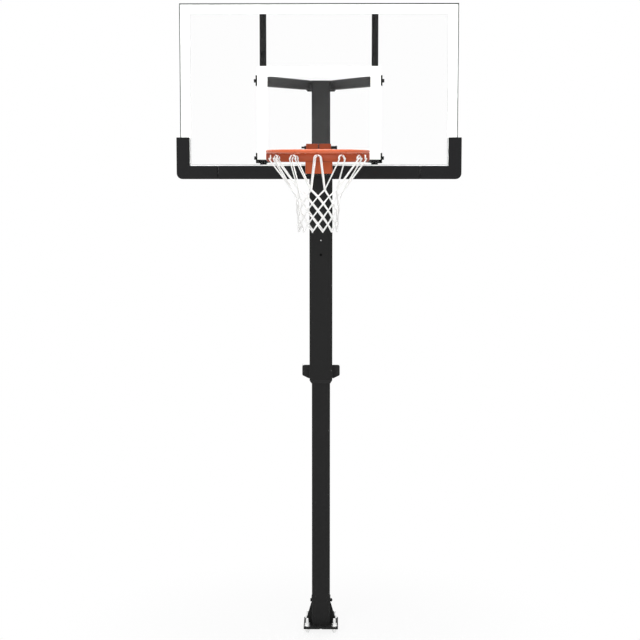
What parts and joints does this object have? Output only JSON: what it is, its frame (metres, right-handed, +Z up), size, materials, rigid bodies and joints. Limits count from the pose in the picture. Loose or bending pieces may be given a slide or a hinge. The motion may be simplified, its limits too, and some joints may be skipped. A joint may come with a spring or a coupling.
{
  "type": "basketball hoop",
  "caption": "Bolt-down basketball hoop: square telescoping pole with a release handle, glass board on slanted arms, corner pads, sprung rim on a hinge and a cord net.",
  "frame": {"origin": "centre of the base plate's underside, on the pole's axis", "axes": "+Z up along the pole; the board faces -Y and the rim stands out towards -Y; +X is to the right of someone who faces the board"},
  "size_m": [1.4096, 1.6795, 3.4269],
  "materials": {
    "black_powder_coat": "satin black powder coat",
    "orange_powder_coat": "satin orange powder coat",
    "zinc": "bright zinc plating",
    "steel": "bare drawn steel",
    "black_plastic": "moulded black nylon",
    "pad_polymer": "moulded polyurethane foam skin",
    "glass": "clear toughened glass",
    "white_ceramic_print": "white ceramic print",
    "net_cord": "braided white cord",
    "brake_rubber": "hard brake rubber"
  },
  "bodies": {
    "base": {"base_plate": "black_powder_coat", "base_bracket_left": "black_powder_coat", "base_bracket_right": "black_powder_coat", "base_cross_bolt": "black_powder_coat", "anchor_front_left": "zinc", "anchor_front_right": "zinc", "anchor_rear_left": "zinc", "anchor_rear_right": "zinc", "lower_pole": "black_powder_coat", "pole_top_glide": "black_plastic", "gas_strut_cylinder": "black_powder_coat"},
    "upper_assembly": {"outer_sleeve": "black_powder_coat", "sleeve_bushing": "black_plastic", "sleeve_spacer_top": "black_plastic", "sleeve_spacer_low": "black_plastic", "upper_pole": "black_powder_coat", "pole_cap": "black_plastic", "sleeve_bolt_lower": "black_powder_coat", "sleeve_bolt_upper": "black_powder_coat", "gas_strut_rod": "steel", "strut_bolt": "zinc", "arm_upper_left": "black_powder_coat", "arm_upper_right": "black_powder_coat", "arm_lower_left": "black_powder_coat", "arm_lower_right": "black_powder_coat", "bracket_bolt_upper_left": "black_powder_coat", "bracket_bolt_upper_right": "black_powder_coat", "bracket_bolt_lower_left": "black_powder_coat", "bracket_bolt_lower_right": "black_powder_coat", "arm_root_bolt_upper_left": "black_powder_coat", "arm_root_bolt_upper_right": "black_powder_coat", "arm_root_bolt_lower_left": "black_powder_coat", "arm_root_bolt_lower_right": "black_powder_coat", "frame_top_rail": "black_powder_coat", "frame_bottom_rail": "black_powder_coat", "frame_side_rail_left": "black_powder_coat", "frame_side_rail_right": "black_powder_coat", "frame_channel_left": "black_powder_coat", "frame_channel_right": "black_powder_coat", "glass_panel": "glass", "border_print": "white_ceramic_print", "target_print": "white_ceramic_print", "pad_corner_left": "pad_polymer", "pad_center": "pad_polymer", "pad_corner_right": "pad_polymer", "rim_mount_plate": "orange_powder_coat", "rim_backing_plate": "black_powder_coat", "hinge_bolt": "black_powder_coat", "rim_spring_bolt_left": "zinc", "rim_spring_bolt_right": "zinc", "rim_spring_left": "steel", "rim_spring_right": "steel", "handle_yoke": "black_plastic", "lever_pin": "zinc"},
    "rim_assembly": {"rim_ring": "orange_powder_coat", "rim_brace": "orange_powder_coat", "rim_bracket": "orange_powder_coat", "net": "net_cord"},
    "lever": {"release_lever": "black_plastic"},
    "shoe": {"brake_shoe": "brake_rubber"}
  },
  "joints": [
    {"name": "height_slide", "type": "slide", "parent": "base", "child": "upper_assembly", "axis": [0, 0, 1], "range_m": [-0.248, 0.362]},
    {"name": "rim_breakaway", "type": "hinge", "parent": "upper_assembly", "child": "rim_assembly", "pos_m": [0, -0.939, 2.7005], "axis": [1, 0, 0], "range_deg": [0, 25], "stiffness_Nm_per_rad": 100, "springref_deg": -34.38, "deforming": ["rim_spring_left", "rim_spring_right"]},
    {"name": "release_lever_pivot", "type": "hinge", "parent": "upper_assembly", "child": "lever", "pos_m": [0, 0.088, 1.484], "axis": [1, 0, 0], "range_deg": [0, 8], "stiffness_Nm_per_rad": 1, "springref_deg": -17.19},
    {"name": "brake_slide", "type": "slide", "parent": "upper_assembly", "child": "shoe", "axis": [0, 1, 0], "range_m": [0, 0.0042]}
  ],
  "couplings": [
    {"joint": "brake_slide", "follows": "release_lever_pivot", "m_per_rad": 0.03}
  ]
}
